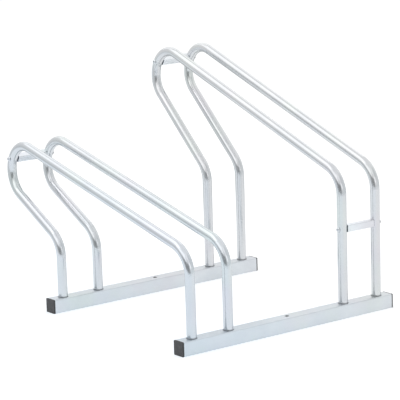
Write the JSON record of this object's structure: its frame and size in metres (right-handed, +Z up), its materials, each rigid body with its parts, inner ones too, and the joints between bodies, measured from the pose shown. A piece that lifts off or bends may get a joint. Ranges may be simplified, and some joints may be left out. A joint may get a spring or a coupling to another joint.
{
  "type": "floor bike rack",
  "caption": "Low floor rack of bent round steel hoops on square rails, holding one bicycle wheel low and its neighbour high.",
  "frame": {"origin": "on the ground, midway between the anchor holes of the two rails", "axes": "+X along the rails from the low place to the high place, +Y from the front rail to the rear rail, +Z up"},
  "size_m": [0.55, 0.653, 0.508],
  "materials": {
    "hoop_steel": "round steel tube, bright blue-white zinc plating, smooth and semi-gloss",
    "rail_steel": "square steel tube, duller zinc plating, satin",
    "brace_steel": "square steel tube, zinc plating, satin",
    "screw_steel": "zinc-plated screw steel, semi-gloss",
    "insert_steel": "turned steel, lightly zinc plated",
    "cap_plastic": "black polyethylene, fine moulded grain"
  },
  "bodies": {
    "root": {"front_rail": "rail_steel", "rear_rail": "rail_steel", "front_rail_left_cap": "cap_plastic", "front_rail_right_cap": "cap_plastic", "rear_rail_left_cap": "cap_plastic", "rear_rail_right_cap": "cap_plastic", "low_left_hoop": "hoop_steel", "low_right_hoop": "hoop_steel", "high_left_hoop": "hoop_steel", "high_right_hoop": "hoop_steel", "low_left_hoop_front_insert": "insert_steel", "low_left_hoop_rear_insert": "insert_steel", "low_right_hoop_front_insert": "insert_steel", "low_right_hoop_rear_insert": "insert_steel", "high_left_hoop_front_insert": "insert_steel", "high_left_hoop_rear_insert": "insert_steel", "high_right_hoop_front_insert": "insert_steel", "high_right_hoop_rear_insert": "insert_steel", "low_left_hoop_front_screw": "screw_steel", "low_left_hoop_rear_screw": "screw_steel", "low_right_hoop_front_screw": "screw_steel", "low_right_hoop_rear_screw": "screw_steel", "high_left_hoop_front_screw": "screw_steel", "high_left_hoop_rear_screw": "screw_steel", "high_right_hoop_front_screw": "screw_steel", "high_right_hoop_rear_screw": "screw_steel", "low_rear_brace": "brace_steel", "high_rear_brace": "brace_steel", "high_front_brace": "brace_steel", "low_rear_brace_left_insert": "insert_steel", "low_rear_brace_right_insert": "insert_steel", "high_rear_brace_left_insert": "insert_steel", "high_rear_brace_right_insert": "insert_steel", "high_front_brace_left_insert": "insert_steel", "high_front_brace_right_insert": "insert_steel", "low_rear_brace_left_screw": "screw_steel", "low_rear_brace_right_screw": "screw_steel", "high_rear_brace_left_screw": "screw_steel", "high_rear_brace_right_screw": "screw_steel", "high_front_brace_left_screw": "screw_steel", "high_front_brace_right_screw": "screw_steel"}
  },
  "joints": []
}
